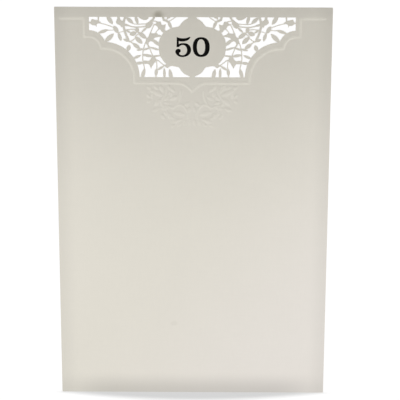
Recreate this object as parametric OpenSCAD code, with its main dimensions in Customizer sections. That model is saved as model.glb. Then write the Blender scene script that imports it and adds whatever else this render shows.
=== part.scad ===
// Anniversary card: one leaf of pearl card with a pierced foliage panel and embossing.
// It lies face up: X across the card, Y towards its top edge, Z out of the front face.

/* [Card] */
// Width of the card
card_w = 127; // [100:1:170]
// Height of the card
card_h = 185; // [140:1:260]
// Thickness of the card stock
stock_t = 0.4; // [0.3:0.05:0.8]
// Rounding of the four trimmed corners
corner_r = 0.3; // [0.1:0.1:6]

/* [Pierced panel] */
// Width of the pierced panel along its straight top edge
panel_w = 94.5; // [80:0.5:96]
// Height of the pierced panel
panel_h = 27.4; // [22:0.2:34]
// Plain strip left above the panel
panel_top = 4.5; // [3:0.1:14]
// Sideways shift of all the ornament from the middle of the card
art_shift = -0.5; // [-2:0.1:2]
// Width of the shield in the middle of the panel
shield_w = 30.8; // [26:0.2:36]
// Width of the finest vine stems
stem_w = 0.34; // [0.25:0.01:0.6]
// Fullness of the pierced leaves, 1 is as drawn
leaf_full = 1; // [0.85:0.01:1.2]
// How far inside its drawn line the cutting stays
cut_inset = 0.03; // [0.01:0.01:0.08]
// Narrowest slit that the cutting opens
slit_w = 0.12; // [0.08:0.01:0.2]

/* [Embossing] */
// Height of the raised work over the front face
emboss_h = 0.2; // [0.1:0.05:0.3]
// Width of the raised line around the panel
bead_w = 0.8; // [0.5:0.05:1.2]
// Distance from the panel's edge to the middle of the raised line
bead_gap = 2.15; // [1.6:0.05:3]
// How much lower the raised line's scallops sit than the cut ones
bead_drop = 0.65; // [0:0.05:1.2]
// Distance between the end of the raised side arms and the card's edge
arm_end = 2.2; // [1:0.1:8]
// Width of the embossed spray under the panel
spray_w = 42; // [34:0.5:60]
// Height of the embossed spray
spray_h = 19.4; // [15:0.2:30]
// How much narrower the hollow on the back is on each side
back_inset = 0.12; // [0.05:0.01:0.2]

/* [Hidden] */
// the size at which the ornament was drawn, measured from the middle of the card
draw_w = 94.5;
draw_h = 27.4;
draw_top = 88;
draw_shield = 15.4;
draw_spray = [21, 57, 19.4];
panel_y = card_h / 2 - panel_top;
half_w = panel_w / 2;
half_s = shield_w / 2;
cut_over = 1;

// the two scallops of the panel's lower corners
scallop_a = [47.25, 74.3];
scallop_a_r = 7.65;
scallop_b = [40.3, 60.6];
scallop_b_r = 16.05;

// leaves with two pointed ends: root, tip, width
LEAVES = [
    [39.2, 88.8, 36.3, 84.6, 1.95],
    [30.3, 87.9, 26.9, 85.0, 1.75],
    [26.1, 88.7, 24.8, 84.7, 1.5],
    [43.4, 80.6, 38.3, 82.2, 1.5],
    [40.25, 76.5, 35.8, 80.5, 2.1],
    [33.9, 81.0, 32.5, 77.0, 1.55],
    [33.9, 80.6, 35.95, 84.0, 2.0],
    [28.8, 76.9, 31.6, 78.0, 1.3],
    [20.9, 78.2, 24.9, 81.2, 2.0],
    [25.5, 83.45, 25.0, 80.8, 1.85],
    [25.4, 80.9, 28.7, 80.0, 2.1],
    [22.8, 75.9, 26.2, 79.1, 2.1],
    [28.2, 80.8, 30.4, 82.0, 0.9],
    [11.2, 86.5, 9.4, 82.6, 1.45],
    [18.7, 78.1, 14.5, 74.8, 1.6],
    [14.6, 72.9, 19.8, 74.4, 0.95],
    [23.9, 73.6, 27.4, 76.1, 1.8],
    [22.2, 73.6, 25.7, 72.8, 1.0],
    [19.3, 74.1, 22.9, 72.9, 0.95],
    [18.0, 70.1, 23.0, 70.9, 1.3],
    [27.4, 69.0, 23.4, 70.7, 1.25],
    [29.6, 72.4, 28.8, 75.4, 1.95],
    [26.2, 66.9, 22.4, 67.2, 1.35],
    [16.75, 61.0, 16.45, 64.7, 1.55],
    [12.9, 65.8, 16.2, 63.8, 1.1],
    [12.75, 59.8, 12.9, 64.9, 1.3],
    [9.4, 59.2, 10.5, 64.5, 1.8],
    [23.3, 59.6, 21.8, 64.8, 1.75],
    [14.3, 70.5, 18.8, 70.1, 0.8],
    [20.4, 83.6, 23.4, 80.9, 1.0],
    [28.4, 83.9, 32.4, 84.9, 1.05]
];

// lobed leaves, outlined point by point
LOBED = [
    [[10.6, 86.1], [11.3, 86.5], [11.7, 86.8], [12.3, 87.0], [12.7, 87.3], [12.8, 88.4], [13.9, 88.4], [13.8, 87.6],
        [13.6, 86.9], [13.5, 86.4], [12.9, 86.1], [12.2, 85.9], [11.6, 85.6], [11.0, 85.4]],
    [[9.1, 88.4], [10.2, 87.6], [11.3, 87.1], [11.7, 86.6], [11.7, 87.4], [11.6, 88.4]],
    [[48.0, 85.6], [46.6, 85.7], [46.2, 86.2], [46.1, 86.8], [45.4, 87.0], [44.6, 86.7], [44.0, 86.5], [43.25, 86.5],
        [43.15, 88.4], [42.55, 88.4], [42.6, 87.0], [42.65, 86.1], [41.7, 85.5], [42.4, 85.1], [43.2, 84.9], [43.7, 84.5],
        [43.8, 83.4], [44.1, 84.1], [45.5, 84.2], [46.2, 84.6], [46.6, 85.0], [48.0, 85.1]],
    [[30.6, 87.4], [31.4, 86.5], [32.1, 86.2], [32.6, 86.6], [33.0, 87.1], [33.2, 88.4], [34.2, 88.4], [34.2, 87.2],
        [34.6, 86.5], [34.9, 85.8], [34.8, 85.2], [34.3, 84.8], [33.6, 84.4], [32.9, 84.2], [32.6, 83.3], [32.1, 83.5],
        [31.4, 83.0], [30.8, 84.2], [30.9, 85.6]],
    [[20.0, 88.4], [20.0, 87.4], [20.5, 86.9], [21.3, 86.6], [22.1, 86.6], [23.0, 86.9], [24.0, 87.4], [25.2, 88.4]],
    [[16.6, 88.6], [17.1, 87.3], [17.6, 86.8], [17.8, 86.2], [18.1, 85.9], [18.1, 84.7], [18.6, 84.0], [19.1, 83.3],
        [20.2, 82.8], [21.0, 83.2], [21.4, 84.1], [21.2, 85.0], [20.3, 85.6], [19.6, 86.1], [19.0, 86.7], [18.3, 87.1],
        [17.9, 88.6]],
    [[12.15, 84.8], [13.4, 84.3], [14.1, 84.6], [14.4, 85.8], [14.9, 86.0], [15.6, 85.8], [16.3, 86.0], [16.4, 85.4],
        [17.0, 84.8], [17.8, 84.9], [17.6, 84.4], [16.6, 84.2], [15.9, 83.6], [15.4, 82.5], [14.6, 82.3], [13.9, 81.2],
        [12.8, 80.8], [12.0, 81.4], [12.6, 82.5], [12.3, 83.4]],
    [[13.8, 79.5], [15.7, 80.1], [16.4, 80.8], [17.6, 80.6], [18.7, 80.6], [19.1, 81.4], [19.6, 80.5], [19.9, 79.5],
        [20.4, 78.7], [21.2, 78.5], [21.2, 77.6], [21.6, 76.3], [21.1, 75.8], [20.1, 75.8], [20.1, 76.3], [19.6, 76.8],
        [18.9, 77.2], [18.3, 76.8], [17.6, 77.2], [17.9, 78.0], [17.0, 78.7], [16.0, 78.9], [14.3, 79.2]],
    [[16.9, 70.2], [16.9, 69.3], [16.4, 68.5], [17.0, 67.5], [17.5, 67.1], [18.1, 66.1], [18.5, 65.6], [18.9, 64.5],
        [19.4, 65.6], [19.8, 66.3], [20.3, 66.7], [21.8, 66.7], [22.4, 66.9], [22.7, 67.6], [22.0, 68.2], [21.2, 68.2],
        [20.6, 68.0], [19.9, 68.1], [19.2, 68.8], [18.9, 69.4], [18.2, 70.3]]
];

// vine stems: width as a multiple of the finest one, then the points it runs through
STEMS = [
    [1, [[42.2, 85.1], [40.6, 84.8], [39.2, 84.4], [37.8, 83.9], [36.0, 83.2]]],
    [3, [[30.5, 88.5], [31.1, 86.5], [31.4, 85.0], [31.4, 83.6], [31.1, 82.4], [30.7, 80.9], [30.2, 79.6], [29.5, 78.2],
        [29.2, 77.0]]],
    [0.9, [[39.0, 82.0], [37.6, 81.9], [35.6, 82.2]]],
    [0.8, [[31.0, 81.5], [32.2, 81.3], [33.9, 80.8]]],
    [1, [[21.0, 84.9], [22.6, 84.8], [24.8, 84.7], [26.4, 84.8], [27.4, 85.1]]],
    [1.5, [[20.8, 84.0], [22.0, 83.6], [23.5, 83.5], [25.0, 83.4], [26.5, 83.4], [28.0, 83.7], [29.4, 84.1], [31.2, 84.7]]],
    [1, [[25.8, 82.2], [27.0, 82.4], [28.4, 82.4], [30.9, 82.1]]],
    [1.2, [[24.5, 80.4], [25.4, 79.8], [26.0, 79.1], [26.3, 78.4], [27.1, 77.6], [28.9, 76.6]]],
    [1.2, [[17.4, 84.8], [17.9, 83.6], [18.5, 82.4], [19.0, 81.0]]],
    [1.1, [[15.1, 82.7], [15.9, 82.0], [16.8, 80.9]]],
    [1.1, [[15.9, 85.9], [17.0, 86.1], [18.3, 86.15]]],
    [1, [[7.4, 88.2], [9.0, 87.0], [11.2, 85.8]]],
    [1.9, [[19.4, 74.0], [20.2, 75.0], [20.8, 76.4]]],
    [1.2, [[19.7, 74.4], [19.2, 72.8], [18.7, 71.7], [18.1, 70.2]]],
    [1.2, [[21.2, 77.0], [21.9, 75.2], [22.3, 73.9], [22.6, 72.5], [22.7, 70.5], [22.8, 68.8], [22.4, 66.5],
        [22.0, 65.0], [22.1, 63.6]]],
    [1.4, [[27.0, 75.9], [27.9, 76.5], [29.2, 77.2]]],
    [1.1, [[12.8, 66.0], [13.9, 66.8], [14.9, 67.6], [15.7, 68.3], [17.0, 68.7]]],
    [1.1, [[16.3, 64.0], [16.25, 66.0], [16.4, 68.4]]],
    [1.3, [[16.7, 60.0], [16.75, 62.2]]],
    [1.5, [[12.9, 65.9], [14.0, 65.1]]]
];

// right half of the shield, top to bottom
SHIELD = [
    [0, 89.5], [1.9, 89.5], [1.95, 87.6], [2.6, 87.1], [3.4, 86.7], [4.4, 85.9], [5.2, 85.0], [5.8, 84.1],
    [6.4, 83.7], [7.4, 83.5], [8.6, 83.3], [9.6, 83.1], [10.4, 82.6], [11.2, 82.1], [12.2, 81.7], [13.0, 81.1],
    [13.6, 80.4], [14.1, 79.5], [14.7, 78.6], [15.1, 77.6], [15.3, 76.3], [15.4, 74.8], [15.3, 73.2], [15.1, 71.7],
    [14.9, 70.6], [14.5, 69.8], [13.9, 69.1], [13.4, 68.2], [12.7, 67.4], [12.1, 67.0], [11.9, 66.7], [12.2, 66.4],
    [13.0, 66.3], [13.5, 65.9], [13.2, 65.6], [12.5, 65.5], [12.0, 65.1], [11.5, 64.8], [11.1, 65.0],
    [10.6, 65.4], [10.0, 65.7], [9.2, 65.8], [8.2, 65.6], [7.2, 65.4],
    [6.4, 65.3], [5.8, 64.8], [5.3, 64.0], [4.7, 63.2], [3.9, 62.4], [2.9, 61.8], [1.9, 61.4], [1.2, 61.0],
    [1.1, 59.5], [0, 59.5]
];

// the raised side arm's level, and the raised line under the panel with its dip to the middle
arm_v = 87.4;
BASE_LINE = [[8.6, 58.1], [6.2, 58.1], [4.0, 57.45], [2.2, 56.4], [0.8, 55.3], [-0.2, 53.9]];

// leaves of the embossed spray, drawn under the panel
SPRAY = [
    [19.6, 54.6, 13.3, 52.0, 1.7],
    [14.9, 56.9, 13.1, 53.7, 1.5],
    [17.6, 56.6, 15.6, 55.0, 1.2],
    [21.0, 56.2, 18.9, 55.2, 1.2],
    [18.3, 53.4, 18.3, 50.6, 1.2],
    [20.8, 52.6, 19.3, 51.0, 1.1],
    [14.2, 50.6, 17.6, 47.6, 1.7],
    [19.3, 50.1, 20.8, 48.9, 1.1],
    [10.6, 46.5, 14.5, 46.0, 1.3],
    [15.1, 46.2, 18.5, 45.0, 1.2],
    [8.9, 44.5, 3.5, 43.4, 1.6],
    [10.2, 43.9, 10.5, 41.4, 1.4],
    [12.8, 44.7, 11.3, 42.8, 1.1],
    [14.3, 43.2, 12.6, 41.2, 1.1],
    [9.6, 39.6, 4.7, 41.2, 1.5],
    [1.0, 41.0, 1.3, 38.2, 1.1],
    [3.2, 40.6, 3.7, 38.2, 1.1],
    [5.3, 39.6, 6.7, 37.7, 1.1],
    [8.0, 38.6, 9.8, 37.6, 0.9],
    [6.9, 51.7, 10.2, 50.2, 1.5],
    [10.4, 53.8, 9.4, 51.7, 1.2],
    [8.0, 53.9, 9.9, 55.5, 1.2],
    [10.9, 57.0, 10.2, 55.0, 1.1],
    [1.2, 49.0, 3.5, 47.5, 1.2],
    [11.1, 51.8, 12.9, 49.9, 1.2],
    [13.0, 49.2, 10.7, 48.4, 1.1],
    [1.0, 46.8, 1.6, 44.3, 1.2]
];

// stems of the embossed spray
SPRAY_STEMS = [
    [[13.8, 47.7], [10.6, 47.1], [8.8, 46.3], [7.4, 47.4], [5.6, 48.1], [4.0, 47.3], [2.7, 45.8], [1.9, 43.6], [2.2, 41.4]],
    [[5.2, 54.6], [5.5, 51.8], [6.1, 49.6], [7.0, 47.9]],
    [[11.9, 54.9], [12.4, 52.6], [13.6, 50.9], [14.4, 49.4], [14.0, 47.7], [12.4, 46.2], [11.6, 44.4], [10.2, 42.6],
        [8.3, 41.2]]
];

// places a drawn point on the panel: the shield's width and the panel's width drive it
function at_x(u) = u < draw_shield ? u * half_s / draw_shield
    : half_s + (u - draw_shield) * (half_w - half_s) / (draw_w / 2 - draw_shield);
function at_y(v) = panel_y + (v - draw_top) * panel_h / draw_h;
function at(p) = [at_x(p[0]), at_y(p[1])];
function along(a, b, t) = a + (b - a) * t;
function arc_pts(c, r, a0, a1, n) = [for (i = [0 : n]) c + r * [cos(along(a0, a1, i / n)), sin(along(a0, a1, i / n))]];
// left-hand crossing of the circles round c with radius r and round d with radius q, as an angle seen from each
function gap_of(c, d) = norm(d - c);
function foot_of(c, r, d, q) = (r * r - q * q + pow(gap_of(c, d), 2)) / (2 * gap_of(c, d));
function rise_of(c, r, d, q) = sqrt(max(0, r * r - pow(foot_of(c, r, d, q), 2)));
function unit_of(c, d) = (d - c) / gap_of(c, d);
function cross_of(c, r, d, q) = c + unit_of(c, d) * foot_of(c, r, d, q)
    + [unit_of(c, d)[1], -unit_of(c, d)[0]] * rise_of(c, r, d, q);
function angle_of(c, p) = atan2(p[1] - c[1], p[0] - c[0]);
// the scalloped corner, set back into the card by a margin
function cusp(m) = cross_of(scallop_a, scallop_a_r - m, scallop_b, scallop_b_r - m);
function scallop_small(m) = arc_pts(scallop_a, scallop_a_r - m, 90, angle_of(scallop_a, cusp(m)), 8);
function scallop_large(m) = arc_pts(scallop_b, scallop_b_r - m, angle_of(scallop_b, cusp(m)), 180, 14);
function bead_at(p) = at(p) - [0, bead_drop];
function spray_at(p) = [p[0] * spray_w / 2 / draw_spray[0],
    at_y(draw_spray[1]) + (p[1] - draw_spray[1]) * spray_h / draw_spray[2]];

// a leaf outline between two placed points
function leaf_pts(a, b, w, k) = let (d = b - a, n = [-d[1], d[0]] / norm(d) * w / 2)
    concat([for (i = [0 : k]) a + d * i / k + n * pow(sin(180 * i / k), 0.75)],
        [for (i = [k - 1 : -1 : 1]) a + d * i / k - n * pow(sin(180 * i / k), 0.75)]);
// the outline of a stem of even width that runs through placed points
function side_of(a, b) = [a[1] - b[1], b[0] - a[0]] / norm(b - a);
function bend_of(m, n) = (m + n) / (1 + m * n);
function run_side(pts, i) = i == 0 ? side_of(pts[0], pts[1])
    : i == len(pts) - 1 ? side_of(pts[i - 1], pts[i])
    : bend_of(side_of(pts[i - 1], pts[i]), side_of(pts[i], pts[i + 1]));
function run_pts(pts, w) = concat([for (i = [0 : len(pts) - 1]) pts[i] + run_side(pts, i) * w / 2],
    [for (i = [len(pts) - 1 : -1 : 0]) pts[i] - run_side(pts, i) * w / 2]);

module both_sides() {
    children();
    mirror([1, 0]) children();
}

module run(pts, w) {
    polygon(run_pts(pts, w));
}

// the opening before any foliage stands in it
module window_2d() {
    both_sides() {
        polygon(concat([[0, at_y(draw_top)], [at_x(draw_w / 2), at_y(draw_top)]],
            [for (p = concat(scallop_small(0), scallop_large(0))) at(p)], [[0, at_y(draw_top - draw_h)]]));
    }
}

module shield_2d() {
    both_sides() {
        polygon([for (p = SHIELD) at(p)]);
    }
}

module foliage_2d() {
    both_sides() {
        for (l = LEAVES) {
            polygon(leaf_pts(at([l[0], l[1]]), at([l[2], l[3]]), l[4] * leaf_full, 6));
        }
        for (l = LOBED) {
            polygon([for (p = l) at(p)]);
        }
        for (s = STEMS) {
            run([for (p = s[1]) at(p)], s[0] * stem_w);
        }
    }
}

// what the cutting removes
module cut_2d() {
    offset(delta = slit_w / 2 - cut_inset) {
        offset(delta = -slit_w / 2) {
            difference() {
                window_2d();
                shield_2d();
                foliage_2d();
            }
        }
    }
}

// the raised line: side arm, short upright, scallops, base line and its dip under the shield
module bead_2d(w) {
    both_sides() {
        run(concat(
            [[card_w / 2 - arm_end - abs(art_shift), at_y(arm_v)]],
            [[half_w + bead_gap, at_y(arm_v)],
                [half_w + bead_gap, at_y(scallop_a[1] + scallop_a_r - bead_gap) - bead_drop]],
            [for (p = scallop_small(bead_gap)) bead_at(p)]), w);
        run(concat(
            [for (p = scallop_large(bead_gap)) bead_at(p)],
            [[at_x(scallop_b[0] - scallop_b_r + bead_gap), at_y(BASE_LINE[0][1])]],
            [for (p = BASE_LINE) at(p)]), w);
        translate(bead_at(cusp(bead_gap))) circle(d = w, $fn = 12);
    }
}

module spray_2d(inset) {
    both_sides() {
        for (l = SPRAY) {
            polygon(leaf_pts(spray_at([l[0], l[1]]), spray_at([l[2], l[3]]), l[4] - 2 * inset, 4));
        }
        for (s = SPRAY_STEMS) {
            run([for (p = s) spray_at(p)], 0.6 - 2 * inset);
        }
    }
}

module relief_2d(inset) {
    offset(delta = -0.02) {
        offset(delta = 0.02) {
            bead_2d(bead_w - 2 * inset);
            spray_2d(inset);
        }
    }
}

module sheet_2d() {
    square([card_w - 2 * corner_r, card_h], center = true);
    square([card_w, card_h - 2 * corner_r], center = true);
    for (sx = [-1, 1]) {
        for (sy = [-1, 1]) {
            translate([sx * (card_w / 2 - corner_r), sy * (card_h / 2 - corner_r)]) circle(r = corner_r, $fn = 24);
        }
    }
}

module card() {
    color([0.93, 0.915, 0.875]) {
        difference() {
            union() {
                linear_extrude(height = stock_t) sheet_2d();
                translate([art_shift, 0, stock_t / 2]) {
                    linear_extrude(height = stock_t / 2 + emboss_h) relief_2d(0);
                }
            }
            translate([art_shift, 0, -cut_over]) {
                linear_extrude(height = stock_t + emboss_h + 2 * cut_over) cut_2d();
            }
            translate([art_shift, 0, -cut_over]) {
                linear_extrude(height = cut_over + emboss_h) relief_2d(back_inset);
            }
        }
    }
}

card();
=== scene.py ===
import math

import bmesh
import bpy
import numpy as np
from mathutils import Matrix, Vector
from mathutils.bvhtree import BVHTree


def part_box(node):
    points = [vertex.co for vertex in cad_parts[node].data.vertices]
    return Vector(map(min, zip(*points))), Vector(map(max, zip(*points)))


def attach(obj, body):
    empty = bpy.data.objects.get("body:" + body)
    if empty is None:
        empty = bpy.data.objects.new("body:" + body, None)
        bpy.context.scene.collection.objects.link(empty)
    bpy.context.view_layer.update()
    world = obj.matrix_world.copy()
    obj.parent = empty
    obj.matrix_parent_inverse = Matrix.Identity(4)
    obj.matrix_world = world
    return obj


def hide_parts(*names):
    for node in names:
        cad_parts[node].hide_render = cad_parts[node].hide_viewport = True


bl_info = {
    "name": "Pierced Pearl Card",
    "version": (1, 0, 0),
    "blender": (4, 5, 0),
    "location": "3D View > Sidebar > Card",
    "description": "Presses, prints and lights an anniversary card with a pierced foliage panel",
    "category": "Object",
}

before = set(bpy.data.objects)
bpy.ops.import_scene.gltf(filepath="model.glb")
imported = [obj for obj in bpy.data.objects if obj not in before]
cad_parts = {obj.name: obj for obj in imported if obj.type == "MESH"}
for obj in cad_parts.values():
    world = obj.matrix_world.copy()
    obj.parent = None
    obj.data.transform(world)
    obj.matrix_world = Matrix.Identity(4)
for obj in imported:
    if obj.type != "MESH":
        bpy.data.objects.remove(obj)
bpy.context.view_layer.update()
LEAF_LOW, LEAF_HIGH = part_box("card")
MM = 0.001
# How far the source presses the card up, and the height of its plain face
EMBOSS = 0.2 * MM
FACE_Z = LEAF_HIGH.z - EMBOSS

# Scale of each texture, in repeats per metre, and how far the felt is drawn out and turned
CLOUDS = 38.0
FELT = 900.0
FIBRES = 1500.0
FLECKS = 2600.0
FELT_DRAWN = (1.0, 0.35, 1.0)
FELT_TURN = 0.12

# Marks on the face: the middle, then half the width and half the height
SCORCH_AT = (-16.0 * MM, 88.9 * MM)
SCORCH_REACH = (2.4 * MM, 1.5 * MM)
SPECK_AT = (-9.0 * MM, -57.6 * MM)
SPECK_REACH = (1.6 * MM, 1.1 * MM)
SPECK_DEPTH = 0.06

# The foot's painted shade is full up to this share of the half width, and falls to the second share
FOOT_FULL = 0.6
FOOT_LEFT = 0.4

# Sizes of the mesh work, in millimetres, as the leaf is scaled up while it is cut
MERGE = 0.0008
CUT_MERGE = 0.0002
LEAST_RISE = 0.002
ABOVE = 2.0

# Lower down than this share of the leaf's height nothing is pressed or pierced
PLAIN_SHARE = 0.62

# Faces that differ by less are joined, edges that turn by more are sharp, and cuts lie inside the rim
FLAT_ANGLE = math.radians(0.5)
SHARP_ANGLE = math.radians(40)
RIM = 0.5 * MM

# Metres from the card to each light, half the floor's side, and how far it lies under the card
LIGHT_AWAY = 1.2
FLOOR_HALF = 6.0
FLOOR_GAP = 0.00002


# Materials


class Field:
    """One value over a surface. Sums and products of fields add Math nodes."""

    def __init__(self, finish, socket):
        self.finish = finish
        self.socket = socket

    def math(self, operation, a, b):
        return self.finish.node("ShaderNodeMath", {"operation": operation}, {0: a, 1: b})

    def __add__(self, other):
        return self.math("ADD", self, other)

    __radd__ = __add__

    def __sub__(self, other):
        return self.math("SUBTRACT", self, other)

    def __rsub__(self, other):
        return self.math("SUBTRACT", other, self)

    def __mul__(self, other):
        return self.math("MULTIPLY", self, other)

    __rmul__ = __mul__


class Finish:
    """A material under construction: one Principled shader and the nodes that feed it."""

    def __init__(self, name, **fixed):
        self.material = bpy.data.materials.new(name)
        self.material.use_nodes = True
        self.tree = self.material.node_tree
        self.shader = self.tree.nodes["Principled BSDF"]
        for socket, value in fixed.items():
            self.shader.inputs[socket.replace("_", " ")].default_value = value

    def node(self, kind, settings=None, inputs=None, out=0):
        """Adds any node: its settings first, then the values or links of its sockets."""
        made = self.tree.nodes.new(kind)
        for key, value in (settings or {}).items():
            setattr(made, key, value)
        for key, value in (inputs or {}).items():
            if isinstance(value, Field):
                self.tree.links.new(value.socket, made.inputs[key])
            else:
                made.inputs[key].default_value = value
        return Field(self, made.outputs[out])

    def feed(self, **links):
        for socket, value in links.items():
            self.tree.links.new(value.socket, self.shader.inputs[socket.replace("_", " ")])

    def place(self, scale=(1.0, 1.0, 1.0), turn=0.0):
        """Object coordinates, in metres, scaled and turned in the plane of the leaf."""
        where = self.node("ShaderNodeTexCoord", out="Object")
        return self.node(
            "ShaderNodeMapping",
            {"vector_type": "POINT"},
            {"Vector": where, "Rotation": (0.0, 0.0, turn), "Scale": scale},
        )

    def axis(self, vector, name):
        return self.node("ShaderNodeSeparateXYZ", None, {"Vector": vector}, out=name)

    def noise(self, vector, scale, detail=2.0, roughness=0.5):
        return self.node(
            "ShaderNodeTexNoise",
            None,
            {"Vector": vector, "Scale": scale, "Detail": detail, "Roughness": roughness},
            out="Fac",
        )

    def spread(self, value, low, high, to_low=0.0, to_high=1.0):
        """Maps low..high smoothly to to_low..to_high and holds the ends."""
        return self.node(
            "ShaderNodeMapRange",
            {"interpolation_type": "SMOOTHSTEP"},
            {"Value": value, "From Min": low, "From Max": high, "To Min": to_low, "To Max": to_high},
        )

    def tint(self, factor, first, second, blend="MIX"):
        return self.node(
            "ShaderNodeMix",
            {"data_type": "RGBA", "blend_type": blend},
            {0: factor, 6: first, 7: second},
            out=2,
        )

    def bump(self, height, distance, strength, under=None):
        inputs = {"Height": height, "Distance": distance, "Strength": strength}
        if under is not None:
            inputs["Normal"] = under
        return self.node("ShaderNodeBump", None, inputs)


def blot(finish, where, centre, reach, soften, grain):
    """A soft-edged oval stain: 1 inside, 0 outside, with its edge broken up by noise."""
    shifted = finish.node(
        "ShaderNodeVectorMath", {"operation": "SUBTRACT"}, {0: where, 1: (centre[0], centre[1], 0.0)}
    )
    scaled = finish.node(
        "ShaderNodeVectorMath",
        {"operation": "MULTIPLY"},
        {0: shifted, 1: (1.0 / reach[0], 1.0 / reach[1], 0.0)},
    )
    away = finish.node("ShaderNodeVectorMath", {"operation": "LENGTH"}, {0: scaled}, out="Value")
    broken = away + finish.noise(where, grain, 3.0) - 0.5
    return finish.spread(broken, 1.0 + soften, 1.0 - soften)


def painted_shade(board, x_place, y_place, look):
    """Painted shade: how much darker the board is painted towards the sides, the top and the foot of
    the leaf.
    """
    half_wide = (LEAF_HIGH.x - LEAF_LOW.x) / 2
    away = board.node("ShaderNodeMath", {"operation": "ABSOLUTE"}, {0: x_place})
    side_shade = board.spread(half_wide - away, 0.0, look.painted_edge_reach, 1.0, 0.0)
    top_shade = board.spread(LEAF_HIGH.y - y_place, 0.0, look.painted_edge_reach, 1.0, 0.0)
    foot_shade = board.spread(y_place - LEAF_LOW.y, 0.0, look.painted_foot_reach, 1.0, 0.0)
    foot_fade = board.spread(away, half_wide * FOOT_FULL, half_wide, 1.0, FOOT_LEFT)
    return (side_shade + top_shade) * look.painted_edge_depth + foot_shade * foot_fade * look.painted_foot_depth


def pearl_board(name, look, rise):
    """Ivory pearl-coated card: satin, faintly fibrous, with mica flecks, painted shade along the edges
    and foot, a painted highlight on the pressed ridges and a painted sheen towards the lower right.
    """
    board = Finish(name, IOR=1.5, Coat_Roughness=0.32, Coat_IOR=1.45)
    where = board.node("ShaderNodeTexCoord", out="Object")
    x_place = board.axis(where, "X")
    y_place = board.axis(where, "Y")

    clouds = board.noise(board.place(), CLOUDS, 3.0, 0.55)
    felt = board.noise(board.place(FELT_DRAWN, FELT_TURN), FELT, 4.0, 0.6)
    fibres = board.noise(board.place((1.0, 0.12, 1.0), 0.9), FIBRES)
    cross_fibres = board.noise(board.place((0.12, 1.0, 1.0), 0.4), FIBRES)
    flecks = board.node(
        "ShaderNodeTexVoronoi",
        {"feature": "F1", "distance": "EUCLIDEAN"},
        {"Vector": board.place(), "Scale": FLECKS, "Randomness": 1.0},
        out="Color",
    )
    sparkle = board.spread(board.axis(flecks, "X"), 0.82, 1.0)

    pressed = board.spread(board.axis(where, "Z"), FACE_Z + 0.02 * rise, FACE_Z + 0.4 * rise)
    # painted light: lighter along the pressed ridges as a painted highlight, darker towards the sides,
    # top and foot as painted shade
    tone = 1.0 + look.painted_ridge_highlight * pressed - painted_shade(board, x_place, y_place, look)
    mottle = 1.0 + (clouds - 0.5) * look.mottle + (felt - 0.5) * look.mottle * 0.7
    mottle = mottle + (fibres - 0.5) * look.mottle * 0.5 + (cross_fibres - 0.5) * look.mottle * 0.5
    level = mottle * tone
    level_colour = board.node("ShaderNodeCombineXYZ", None, {"X": level, "Y": level, "Z": level})
    # painted sheen: a lighter, pinker tone painted towards the lower right of the board
    sheen_mask = board.spread(x_place - y_place * 0.8, -0.01, 0.12)
    ivory = board.tint(sheen_mask * look.painted_sheen, tuple(look.paper), tuple(look.painted_sheen_tone))
    shaded = board.tint(1.0, ivory, level_colour, "MULTIPLY")

    scorch = blot(board, where, SCORCH_AT, SCORCH_REACH, 0.85, 400.0)
    speck = blot(board, where, SPECK_AT, SPECK_REACH, 0.5, 900.0)
    scorched = board.tint(scorch * look.scorch_depth, shaded, tuple(look.scorch))
    marked = board.tint(speck * SPECK_DEPTH, scorched, tuple(look.scorch))

    fine = felt * 0.5 + fibres * 0.3 + cross_fibres * 0.3
    grained = board.bump(fine, 0.006 * MM, look.grain)
    waved = board.bump(clouds, 0.25 * MM, look.grain, grained)
    # kept rough enough all over, as the render's denoiser leaves dark specks below about 0.28
    satin = look.roughness + (felt - 0.5) * 0.03 - sparkle * 0.01
    board.feed(
        Base_Color=marked,
        Roughness=satin + scorch * 0.2 + pressed * 0.08,
        Metallic=(look.pearl + sparkle * 0.03) * (1.0 - scorch * 0.8) * (1.0 - pressed * look.dulled),
        Coat_Weight=(look.coat + sparkle * 0.05) * (1.0 - scorch),
        Normal=waved,
    )
    return board.material


def cut_edge(name, core, toast, depth):
    """The bare core of the board along a cut, browned where a laser made the cut."""
    edge = Finish(name, IOR=1.46)
    where = edge.place()
    pulp = edge.noise(edge.place((1.0, 1.0, 4.0)), 2500.0, 3.0, 0.6)
    browned = edge.spread(edge.noise(where, 420.0, 2.0), 0.25, 0.8) * depth
    core_mix = edge.tint(browned, core, toast)
    dusted = edge.tint((pulp - 0.4) * 0.35, core_mix, (0.98, 0.96, 0.9, 1.0))
    edge.feed(
        Base_Color=dusted,
        Roughness=0.8 + pulp * 0.15,
        Normal=edge.bump(pulp, 0.03 * MM, 0.5),
    )
    return edge.material


def print_ink(name, colour):
    """Dense black ink on card: matt, with the felt of the board showing through."""
    ink = Finish(name, IOR=1.4, Specular_IOR_Level=0.12)
    felt = ink.noise(ink.place(FELT_DRAWN, FELT_TURN), FELT, 4.0, 0.6)
    thin = ink.spread(ink.noise(ink.place(), 260.0) + felt * 0.4, 0.55, 0.95)
    shade = ink.tint(thin * 0.35, colour, (0.008, 0.007, 0.006, 1.0))
    ink.feed(
        Base_Color=shade,
        Roughness=0.6 + felt * 0.2,
        Normal=ink.bump(felt, 0.01 * MM, 0.5),
    )
    return ink.material


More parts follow.
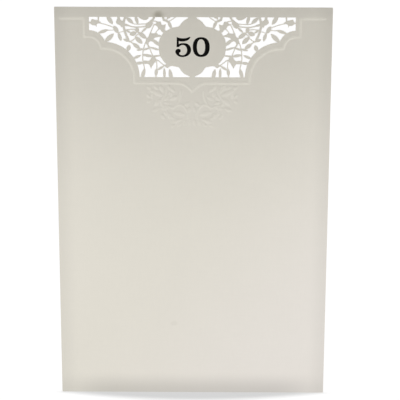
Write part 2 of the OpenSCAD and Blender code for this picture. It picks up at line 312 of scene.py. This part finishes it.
def stage_floor(name, look):
    """A pale matt floor that reads white to the camera, keeps the card's own shadow and has a soft
    painted shadow below the card's foot.
    """
    floor = Finish(name, Roughness=0.9, Specular_IOR_Level=0.1)
    where = floor.place()
    x_place, y_place = floor.axis(where, "X"), floor.axis(where, "Y")
    dust = floor.noise(where, 60.0, 3.0)
    # the painted shade under the foot reaches further out in the middle than at the corners
    out = LEAF_LOW.y - y_place
    below = floor.spread(out, -0.0005, 0.0005)
    shade = floor.spread(out + x_place * x_place, look.shade_reach, 0.0025) * below * look.shade_depth
    pale = floor.tint(shade, tuple(look.floor), (0.0, 0.0, 0.0, 1.0))
    floor.feed(Base_Color=floor.tint(dust * 0.03, pale, (0.8, 0.8, 0.8, 1.0)))
    asked = floor.node("ShaderNodeLightPath", out="Is Camera Ray")
    for ray in ("Is Glossy Ray", "Is Transmission Ray"):
        other = floor.node("ShaderNodeLightPath", out=ray)
        asked = floor.node("ShaderNodeMath", {"operation": "MAXIMUM"}, {0: asked, 1: other})
    lift = asked * look.floor_lift * (1.0 - shade)
    glow = floor.node(
        "ShaderNodeEmission", None, {"Color": (1.0, 1.0, 1.0, 1.0), "Strength": lift}
    )
    both = floor.node("ShaderNodeAddShader", None, {0: Field(floor, floor.shader.outputs[0]), 1: glow})
    floor.tree.links.new(both.socket, floor.tree.nodes["Material Output"].inputs["Surface"])
    return floor.material


# The leaf


def merged_leaf():
    """A copy of the CAD leaf in millimetres, with the loose triangles' corners merged."""
    leaf = bmesh.new()
    leaf.from_mesh(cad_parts["card"].data)
    bmesh.ops.scale(leaf, vec=(1000.0, 1000.0, 1000.0), verts=leaf.verts)
    bmesh.ops.remove_doubles(leaf, verts=leaf.verts, dist=MERGE)
    return leaf


class Relief:
    """The CAD leaf's pressed height on a square raster, softened as damp board would take it."""

    def __init__(self, tree, side, pitch, blur, kept):
        self.pitch = pitch
        self.low = Vector((LEAF_LOW.x, LEAF_LOW.y, 0.0)) / MM
        high = Vector((LEAF_HIGH.x, LEAF_HIGH.y, 0.0)) / MM
        self.wide = int((high.x - self.low.x) / pitch) + 2
        self.tall = int((high.y - self.low.y) / pitch) + 2
        self.flat = FACE_Z / MM if side > 0 else 0.0
        rise = np.zeros((self.tall, self.wide))
        there = np.zeros((self.tall, self.wide))
        down = Vector((0.0, 0.0, -side))
        first_row = int(self.tall * PLAIN_SHARE)
        for row in range(first_row, self.tall):
            y = self.low.y + row * pitch
            for column in range(self.wide):
                above = Vector((self.low.x + column * pitch, y, ABOVE * side))
                hit = tree.ray_cast(above, down)[0]
                if hit is not None:
                    there[row, column] = 1.0
                    rise[row, column] = hit.z - self.flat
        there[:first_row] = 1.0
        share = self.soften(there, blur)
        self.rise = self.soften(rise * there, blur) / np.maximum(share, 1e-6)
        self.rise[share < 1e-3] = 0.0
        self.rise *= kept
        active = np.abs(self.rise) > LEAST_RISE
        self.sum = np.zeros((self.tall + 1, self.wide + 1))
        self.sum[1:, 1:] = active.cumsum(0).cumsum(1)

    def soften(self, grid, blur):
        reach = int(3.0 * blur / self.pitch) + 1
        steps = np.arange(-reach, reach + 1) * self.pitch
        weight = np.exp(-0.5 * (steps / blur) ** 2)
        weight /= weight.sum()
        padded = np.pad(grid, reach, mode="edge")
        across = sum(w * padded[:, i : i + self.wide] for i, w in enumerate(weight))
        return sum(w * across[i : i + self.tall, :] for i, w in enumerate(weight))

    def at(self, places):
        """Height at an array of places, between the raster's own points."""
        u = np.clip((places[:, 0] - self.low.x) / self.pitch, 0, self.wide - 1.001)
        v = np.clip((places[:, 1] - self.low.y) / self.pitch, 0, self.tall - 1.001)
        column, row = u.astype(int), v.astype(int)
        s, t = u - column, v - row
        near = self.rise[row, column] * (1 - s) + self.rise[row, column + 1] * s
        far = self.rise[row + 1, column] * (1 - s) + self.rise[row + 1, column + 1] * s
        return self.flat + near * (1 - t) + far * t

    def touches(self, low, high):
        """Whether any pressed place lies in a box."""
        c0 = int(np.clip((low[0] - self.low.x) / self.pitch, 0, self.wide - 1))
        c1 = int(np.clip((high[0] - self.low.x) / self.pitch + 1, 0, self.wide - 1)) + 1
        r0 = int(np.clip((low[1] - self.low.y) / self.pitch, 0, self.tall - 1))
        r1 = int(np.clip((high[1] - self.low.y) / self.pitch + 1, 0, self.tall - 1)) + 1
        return self.sum[r1, c1] - self.sum[r0, c1] - self.sum[r1, c0] + self.sum[r0, c0] > 0


def box_of(face):
    xs = [v.co.x for v in face.verts]
    ys = [v.co.y for v in face.verts]
    return (min(xs), min(ys)), (max(xs), max(ys))


def cut_cells(leaf, faces, axis, step):
    """Cuts faces along every multiple of step on one axis, halving the stack each time."""
    if not faces:
        return []
    low = min(v.co[axis] for f in faces for v in f.verts)
    high = max(v.co[axis] for f in faces for v in f.verts)
    first = math.ceil(low / step + 0.01)
    last = math.floor(high / step - 0.01)
    if last < first:
        return faces
    middle = (first + last) // 2 * step
    normal = Vector((0.0, 0.0, 0.0))
    normal[axis] = 1.0
    crossed = [f for f in faces if box_of(f)[0][axis] < middle < box_of(f)[1][axis]]
    rest = [f for f in faces if not box_of(f)[0][axis] < middle < box_of(f)[1][axis]]
    edges = {e for f in crossed for e in f.edges}
    verts = {v for f in crossed for v in f.verts}
    made = bmesh.ops.bisect_plane(
        leaf,
        geom=[*verts, *edges, *crossed],
        dist=CUT_MERGE,
        plane_co=normal * middle,
        plane_no=normal,
    )
    rest += [g for g in made["geom"] if isinstance(g, bmesh.types.BMFace)]
    near = [f for f in rest if f.calc_center_bounds()[axis] < middle]
    far = [f for f in rest if f.calc_center_bounds()[axis] >= middle]
    return cut_cells(leaf, near, axis, step) + cut_cells(leaf, far, axis, step)


def refine(leaf, relief, side, steps):
    """Divides the flat side of the leaf into small cells wherever the relief is."""
    leaf.normal_update()
    faces = [f for f in leaf.faces if f.normal.z * side > 0.5]
    for step in steps:
        faces = [f for f in faces if relief.touches(*box_of(f))]
        faces = cut_cells(leaf, faces, 0, step)
        faces = cut_cells(leaf, faces, 1, step)


def pressed_leaf(shape):
    """The leaf with its bead line and spray pressed up as soft relief."""
    leaf = merged_leaf()
    tree = BVHTree.FromBMesh(leaf)
    front = Relief(tree, 1, shape.raster / MM, shape.front_blur / MM, shape.kept)
    back = Relief(tree, -1, shape.raster / MM, shape.back_blur / MM, shape.kept)
    face_z = FACE_Z / MM
    for vert in leaf.verts:
        vert.co.z = face_z if vert.co.z > face_z * 0.75 else 0.0
    bmesh.ops.remove_doubles(leaf, verts=leaf.verts, dist=MERGE)
    bmesh.ops.dissolve_limit(
        leaf,
        angle_limit=FLAT_ANGLE,
        use_dissolve_boundaries=False,
        verts=leaf.verts,
        edges=leaf.edges,
        delimit={"NORMAL"},
    )
    cell = shape.cell / MM
    refine(leaf, front, 1, (cell * 16, cell * 4, cell))
    refine(leaf, back, -1, (cell * 16, cell * 4, cell * 2))
    places = np.array([v.co for v in leaf.verts])
    on_front = places[:, 2] > face_z / 2
    heights = np.where(on_front, front.at(places), back.at(places))
    for vert, height in zip(leaf.verts, heights):
        vert.co.z = float(height)
    bmesh.ops.scale(leaf, vec=(MM, MM, MM), verts=leaf.verts)
    leaf.normal_update()
    return leaf


def finished_leaf(shape):
    leaf = pressed_leaf(shape)
    for face in leaf.faces:
        face.smooth = True
        if abs(face.normal.z) < 0.5:
            middle = face.calc_center_median()
            inside = abs(middle.x) < LEAF_HIGH.x - RIM and middle.y < LEAF_HIGH.y - RIM
            face.material_index = 1 if inside and middle.y > LEAF_LOW.y + RIM else 2
    for edge in leaf.edges:
        edge.smooth = len(edge.link_faces) == 2 and edge.calc_face_angle(0.0) < SHARP_ANGLE
    return leaf


def placed(name, mesh_bm, *materials):
    mesh = bpy.data.meshes.new(name)
    mesh_bm.to_mesh(mesh)
    mesh_bm.free()
    piece = bpy.data.objects.new(name, mesh)
    bpy.context.scene.collection.objects.link(piece)
    for material in materials:
        mesh.materials.append(material)
    return piece


# The numerals

# The 5, in millimetres from the middle of the card; C marks a sharp corner
FIVE = (
    (-7.62, 79.02, "C"), (-6.5, 78.6, ""), (-5.2, 78.42, ""), (-3.8, 78.48, ""),
    (-2.6, 78.76, ""), (-1.75, 79.06, ""), (-1.42, 78.9, ""), (-1.72, 78.28, ""),
    (-2.3, 77.72, ""), (-3.1, 77.33, ""), (-4.2, 77.05, ""), (-5.2, 76.96, ""),
    (-6.1, 77.02, ""), (-6.68, 77.16, "C"), (-6.68, 75.8, "C"), (-5.9, 76.1, ""),
    (-5.0, 76.25, ""), (-4.1, 76.25, ""), (-3.2, 76.08, ""), (-2.3, 75.65, ""),
    (-1.6, 74.95, ""), (-1.16, 74.0, ""), (-1.06, 73.0, ""), (-1.25, 72.05, ""),
    (-1.85, 71.12, ""), (-2.8, 70.42, ""), (-3.9, 70.02, ""), (-5.0, 69.9, ""),
    (-6.1, 70.03, ""), (-7.1, 70.5, ""), (-7.9, 71.3, ""), (-8.25, 72.2, ""),
    (-8.1, 73.0, ""), (-7.55, 73.5, ""), (-6.8, 73.65, ""), (-6.1, 73.4, ""),
    (-5.8, 72.8, ""), (-5.98, 72.2, ""), (-6.45, 71.85, "C"), (-6.4, 71.3, ""),
    (-5.9, 70.88, ""), (-5.2, 70.72, ""), (-4.3, 70.82, ""), (-3.6, 71.25, ""),
    (-3.1, 72.0, ""), (-2.88, 73.0, ""), (-3.05, 74.0, ""), (-3.5, 74.75, ""),
    (-4.2, 75.25, ""), (-5.0, 75.37, ""), (-5.8, 75.17, ""), (-6.4, 74.75, ""),
    (-6.72, 74.42, "C"), (-7.72, 74.38, "C"), (-7.66, 76.5, ""),
)


# The nought's outer and inner ovals: the middle, the half sizes and how square the shoulders are
NOUGHT = (
    ((3.6, 74.46), (3.87, 4.5), 2.35),
    ((3.5, 74.5), (1.87, 3.48), 2.25),
)
NUMERAL_MERGE = 0.002 * MM


def bowl(centre, half, fullness, count=20):
    """A full-shouldered oval, as the printed nought has."""
    ring = []
    for index in range(count):
        angle = 2 * math.pi * index / count
        c, s = math.cos(angle), math.sin(angle)
        x = math.copysign(abs(c) ** (2 / fullness), c) * half[0]
        y = math.copysign(abs(s) ** (2 / fullness), s) * half[1]
        ring.append((centre[0] + x, centre[1] + y, ""))
    return ring


def add_outline(curve, points):
    spline = curve.splines.new("BEZIER")
    spline.bezier_points.add(len(points) - 1)
    for knot, (x, y, corner) in zip(spline.bezier_points, points):
        knot.co = (x * MM, y * MM, 0.0)
        knot.handle_left_type = knot.handle_right_type = "VECTOR" if corner else "AUTO"
    spline.use_cyclic_u = True
    spline.resolution_u = 6


def printed_numerals(thickness):
    """The numerals as a thin closed film of ink, half above the front face and half sunk in it."""
    curve = bpy.data.curves.new("numeral_outline", "CURVE")
    curve.dimensions = "2D"
    curve.fill_mode = "BOTH"
    curve.extrude = thickness
    add_outline(curve, FIVE)
    for oval in NOUGHT:
        add_outline(curve, bowl(*oval))
    drawn = bpy.data.objects.new("numeral_outline", curve)
    bpy.context.scene.collection.objects.link(drawn)
    bpy.context.view_layer.update()
    solid = bpy.data.meshes.new_from_object(drawn.evaluated_get(bpy.context.evaluated_depsgraph_get()))
    bpy.data.objects.remove(drawn)
    film = bmesh.new()
    film.from_mesh(solid)
    bpy.data.meshes.remove(solid)
    bmesh.ops.remove_doubles(film, verts=film.verts, dist=NUMERAL_MERGE)
    bmesh.ops.translate(film, vec=(0.0, 0.0, FACE_Z), verts=film.verts)
    bmesh.ops.recalc_face_normals(film, faces=film.faces)
    return film


# Settings


class LeafShape(bpy.types.PropertyGroup):
    cell: bpy.props.FloatProperty(
        name="Relief cell", description="Side of one mesh cell on the pressed relief",
        default=0.2 * MM, min=0.1 * MM, max=2 * MM, unit="LENGTH",
    )
    raster: bpy.props.FloatProperty(
        name="Height sample", description="Spacing at which the CAD relief is sampled",
        default=0.14 * MM, min=0.05 * MM, max=1 * MM, unit="LENGTH",
    )
    front_blur: bpy.props.FloatProperty(
        name="Front softness", description="How far the relief's edge is rounded on the front",
        default=0.2 * MM, min=0.05 * MM, max=1 * MM, unit="LENGTH",
    )
    back_blur: bpy.props.FloatProperty(
        name="Back softness", description="How far the hollow's edge is rounded on the back",
        default=0.28 * MM, min=0.05 * MM, max=1 * MM, unit="LENGTH",
    )
    kept: bpy.props.FloatProperty(
        name="Relief kept", description="Share of the CAD relief's height that the board kept",
        default=0.4, min=0.1, max=1.0, subtype="FACTOR",
    )


class PaperLook(bpy.types.PropertyGroup):
    paper: bpy.props.FloatVectorProperty(
        name="Board", description="Colour of the pearl board", subtype="COLOR", size=4,
        default=(0.828, 0.793, 0.704, 1.0), min=0.0, max=1.0,
    )
    # Painted sheen: a lighter, warmer tone painted on the lower right of the board
    painted_sheen_tone: bpy.props.FloatVectorProperty(
        name="Blush", description="Warmer tone of the pearl towards the lower right",
        subtype="COLOR", size=4, default=(0.868, 0.823, 0.773, 1.0), min=0.0, max=1.0,
    )
    painted_sheen: bpy.props.FloatProperty(
        name="Blush amount", description="How much of the warmer tone shows",
        default=0.8, min=0.0, max=1.0, subtype="FACTOR",
    )
    scorch: bpy.props.FloatVectorProperty(
        name="Scorch", description="Colour of the burn above the panel", subtype="COLOR", size=4,
        default=(0.16, 0.135, 0.06, 1.0), min=0.0, max=1.0,
    )
    scorch_depth: bpy.props.FloatProperty(
        name="Scorch depth", description="How strongly the burn shows",
        default=0.5, min=0.0, max=1.0, subtype="FACTOR",
    )
    toast: bpy.props.FloatVectorProperty(
        name="Browned edge", description="Colour of the laser-cut edge", subtype="COLOR", size=4,
        default=(0.42, 0.33, 0.2, 1.0), min=0.0, max=1.0,
    )
    core: bpy.props.FloatVectorProperty(
        name="Core", description="Colour of the board's bare core", subtype="COLOR", size=4,
        default=(0.82, 0.79, 0.71, 1.0), min=0.0, max=1.0,
    )
    roughness: bpy.props.FloatProperty(
        name="Satin", description="Roughness of the pearl coating",
        default=0.315, min=0.0, max=1.0, subtype="FACTOR",
    )
    pearl: bpy.props.FloatProperty(
        name="Pearl", description="Share of metallic lustre in the board",
        default=0.5, min=0.0, max=1.0, subtype="FACTOR",
    )
    coat: bpy.props.FloatProperty(
        name="Coat", description="Weight of the clear coat over the pearl",
        default=0.12, min=0.0, max=1.0, subtype="FACTOR",
    )
    grain: bpy.props.FloatProperty(
        name="Grain", description="Depth of the felt and fibres in the surface",
        default=0.12, min=0.0, max=1.0, subtype="FACTOR",
    )
    # Painted highlight: the pearl's colour is made lighter along the pressed-up ridges
    painted_ridge_highlight: bpy.props.FloatProperty(
        name="Painted ridge highlight", description="How much brighter the pearl is where it was pressed up",
        default=0.03, min=0.0, max=1.0, subtype="FACTOR",
    )
    dulled: bpy.props.FloatProperty(
        name="Dulled", description="Share of the pearl's lustre lost where it was pressed up",
        default=0.35, min=0.0, max=1.0, subtype="FACTOR",
    )
    mottle: bpy.props.FloatProperty(
        name="Mottle", description="Strength of the light and dark fibres",
        default=0.035, min=0.0, max=1.0, subtype="FACTOR",
    )
    # Painted shade: the side and top edges of the board are painted darker
    painted_edge_reach: bpy.props.FloatProperty(
        name="Edge toning width", description="How far in the side and top edges are darkened",
        default=9 * MM, min=0.0, max=0.05, unit="LENGTH",
    )
    painted_edge_depth: bpy.props.FloatProperty(
        name="Edge toning", description="How much darker the side and top edges are",
        default=0.075, min=0.0, max=1.0, subtype="FACTOR",
    )
    # Painted shade: the foot of the board is painted darker
    painted_foot_reach: bpy.props.FloatProperty(
        name="Foot toning width", description="How far up the foot of the card is darkened",
        default=11 * MM, min=0.0, max=0.05, unit="LENGTH",
    )
    painted_foot_depth: bpy.props.FloatProperty(
        name="Foot toning", description="How much darker the foot of the card is",
        default=0.24, min=0.0, max=1.0, subtype="FACTOR",
    )


class PrintLook(bpy.types.PropertyGroup):
    ink: bpy.props.FloatVectorProperty(
        name="Ink", description="Colour of the printed numerals", subtype="COLOR", size=4,
        default=(0.002, 0.0018, 0.0017, 1.0), min=0.0, max=1.0,
    )
    film: bpy.props.FloatProperty(
        name="Ink film", description="Height of the ink above the board",
        default=0.012 * MM, min=0.0, max=0.1 * MM, unit="LENGTH",
    )


class StageLook(bpy.types.PropertyGroup):
    floor: bpy.props.FloatVectorProperty(
        name="Floor", description="Colour of the floor", subtype="COLOR", size=4,
        default=(0.8, 0.8, 0.8, 1.0), min=0.0, max=1.0,
    )
    # Painted shadow: the floor is painted darker just below the card's foot
    shade_depth: bpy.props.FloatProperty(
        name="Foot shade", description="How much darker the floor is just below the foot",
        default=0.37, min=0.0, max=1.0, subtype="FACTOR",
    )
    shade_reach: bpy.props.FloatProperty(
        name="Foot shade width", description="How far the shade below the foot reaches",
        default=6 * MM, min=3 * MM, max=50 * MM, unit="LENGTH",
    )
    floor_lift: bpy.props.FloatProperty(
        name="Floor whiteness", description="How far the floor is lifted to white for the camera",
        default=0.5, min=0.0, max=1.0, subtype="FACTOR",
    )
    key: bpy.props.FloatProperty(
        name="Key light", description="Power of the soft box over the foot of the card",
        default=3.6, min=0.0, unit="POWER",
    )
    key_lean: bpy.props.FloatProperty(
        name="Key lean", description="Degrees from upright to the middle of the key light",
        default=25.0, min=0.0, max=90.0,
    )
    key_tall: bpy.props.FloatProperty(
        name="Key height", description="Height of the key light's panel",
        default=0.92, min=0.1, max=3.0, unit="LENGTH",
    )
    fill: bpy.props.FloatProperty(
        name="Side lights", description="Power of the two soft boxes beside the card",
        default=1.3, min=0.0, unit="POWER",
    )
    back: bpy.props.FloatProperty(
        name="Back light", description="Power of the soft box beyond the head of the card",
        default=2.6, min=0.0, unit="POWER",
    )
    back_lean: bpy.props.FloatProperty(
        name="Back lean", description="Degrees from upright to the middle of the back light",
        default=32.0, min=0.0, max=90.0,
    )
    ring_lean: bpy.props.FloatProperty(
        name="Side lean", description="Degrees from upright to the middle of the side lights",
        default=36.0, min=0.0, max=90.0,
    )
    room: bpy.props.FloatProperty(
        name="Room light", description="Strength of the even light all round",
        default=0.26, min=0.0, max=2.0,
    )
    lens: bpy.props.FloatProperty(
        name="Lens", description="Focal length of the camera", default=100.82, min=10.0, max=300.0,
    )


# Operators


class CARD_OT_make_leaf(bpy.types.Operator):
    """Press the pierced leaf from the CAD card and give it its pearl board"""

    bl_idname = "card.make_leaf"
    bl_label = "Make the leaf"

    def execute(self, context):
        look = context.scene.card_paper
        leaf = placed(
            "card_leaf",
            finished_leaf(context.scene.card_leaf),
            pearl_board("pearl_board", look, EMBOSS * context.scene.card_leaf.kept),
            cut_edge("laser_cut_edge", tuple(look.core), tuple(look.toast), 0.55),
            cut_edge("trimmed_edge", tuple(look.core), tuple(look.toast), 0.08),
        )
        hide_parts("card")
        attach(leaf, "root")
        return {"FINISHED"}


class CARD_OT_print_numerals(bpy.types.Operator):
    """Print the numerals in the middle of the shield"""

    bl_idname = "card.print_numerals"
    bl_label = "Print the numerals"

    def execute(self, context):
        look = context.scene.card_print
        numerals = placed(
            "printed_numerals", printed_numerals(look.film), print_ink("black_ink", tuple(look.ink))
        )
        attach(numerals, "root")
        return {"FINISHED"}


def soft_light(name, heading, lean, size, power):
    """A soft box aimed at the card: heading round it and lean away from upright, in radians."""
    lamp = bpy.data.lights.new(name, "AREA")
    lamp.shape = "RECTANGLE"
    lamp.size, lamp.size_y = size
    lamp.energy = power
    light = bpy.data.objects.new(name, lamp)
    bpy.context.scene.collection.objects.link(light)
    level = math.sin(lean)
    away = Vector((math.cos(heading) * level, math.sin(heading) * level, math.cos(lean)))
    light.location = away * LIGHT_AWAY
    light.rotation_euler = (-away).to_track_quat("-Z", "Y").to_euler()


class CARD_OT_set_stage(bpy.types.Operator):
    """Lay the floor, hang the soft lights and set the camera at the photograph's angle"""

    bl_idname = "card.set_stage"
    bl_label = "Set the stage"

    def execute(self, context):
        look = context.scene.card_stage
        ground = bmesh.new()
        bmesh.ops.create_grid(ground, x_segments=8, y_segments=8, size=FLOOR_HALF)
        bmesh.ops.translate(ground, vec=(0.0, 0.0, LEAF_LOW.z - FLOOR_GAP), verts=ground.verts)
        placed("floor", ground, stage_floor("pale_floor", look))

        # four soft boxes round a darker zenith: heading, lean, width, height and power of each
        for name, heading, lean, wide, tall, power in (
            ("key_light", -90.0, look.key_lean, 1.4, look.key_tall, look.key),
            ("back_light", 90.0, look.back_lean, 1.0, 0.7, look.back),
            ("left_light", 180.0, look.ring_lean, 0.7, 1.0, look.fill),
            ("right_light", 0.0, look.ring_lean, 0.7, 1.0, look.fill),
        ):
            soft_light(name, math.radians(heading), math.radians(lean), (wide, tall), power)

        world = bpy.data.worlds.new("studio")
        world.use_nodes = True
        context.scene.world = world
        sky = world.node_tree.nodes["Background"]
        sky.inputs["Color"].default_value = (1.0, 1.0, 1.0, 1.0)
        sky.inputs["Strength"].default_value = look.room

        lens = bpy.data.cameras.new("camera")
        lens.lens = look.lens
        lens.sensor_width = 36.0
        lens.clip_start, lens.clip_end = 0.01, 20.0
        camera = bpy.data.objects.new("camera", lens)
        context.scene.collection.objects.link(camera)
        right = Vector((0.999987, 0.003187, -0.004052))
        up = Vector((-0.003925, 0.980311, -0.197421))
        back = Vector((0.003343, 0.197434, 0.980311))
        turn = Matrix((right, up, back)).transposed().to_4x4()
        camera.matrix_world = Matrix.Translation((0.005023, 0.107107, 0.5169 + FACE_Z)) @ turn
        context.scene.camera = camera
        context.scene.view_settings.view_transform = "Standard"
        return {"FINISHED"}


class CARD_PT_sidebar(bpy.types.Panel):
    bl_label = "Anniversary card"
    bl_idname = "CARD_PT_sidebar"
    bl_space_type = "VIEW_3D"
    bl_region_type = "UI"
    bl_category = "Card"

    def draw(self, context):
        parts = (
            (context.scene.card_leaf, CARD_OT_make_leaf),
            (context.scene.card_paper, None),
            (context.scene.card_print, CARD_OT_print_numerals),
            (context.scene.card_stage, CARD_OT_set_stage),
        )
        for settings, operator in parts:
            column = self.layout.column(align=True)
            for name in settings.__annotations__:
                column.prop(settings, name)
            if operator:
                column.operator(operator.bl_idname)


SETTINGS = {
    "card_leaf": LeafShape,
    "card_paper": PaperLook,
    "card_print": PrintLook,
    "card_stage": StageLook,
}
CLASSES = (
    *SETTINGS.values(),
    CARD_OT_make_leaf,
    CARD_OT_print_numerals,
    CARD_OT_set_stage,
    CARD_PT_sidebar,
)


def register():
    for item in CLASSES:
        bpy.utils.register_class(item)
    for name, group in SETTINGS.items():
        setattr(bpy.types.Scene, name, bpy.props.PointerProperty(type=group))


def unregister():
    for name in SETTINGS:
        delattr(bpy.types.Scene, name)
    for item in reversed(CLASSES):
        bpy.utils.unregister_class(item)


def main():
    register()
    bpy.ops.card.make_leaf()
    bpy.ops.card.print_numerals()
    bpy.ops.card.set_stage()


if __name__ == "__main__":
    main()
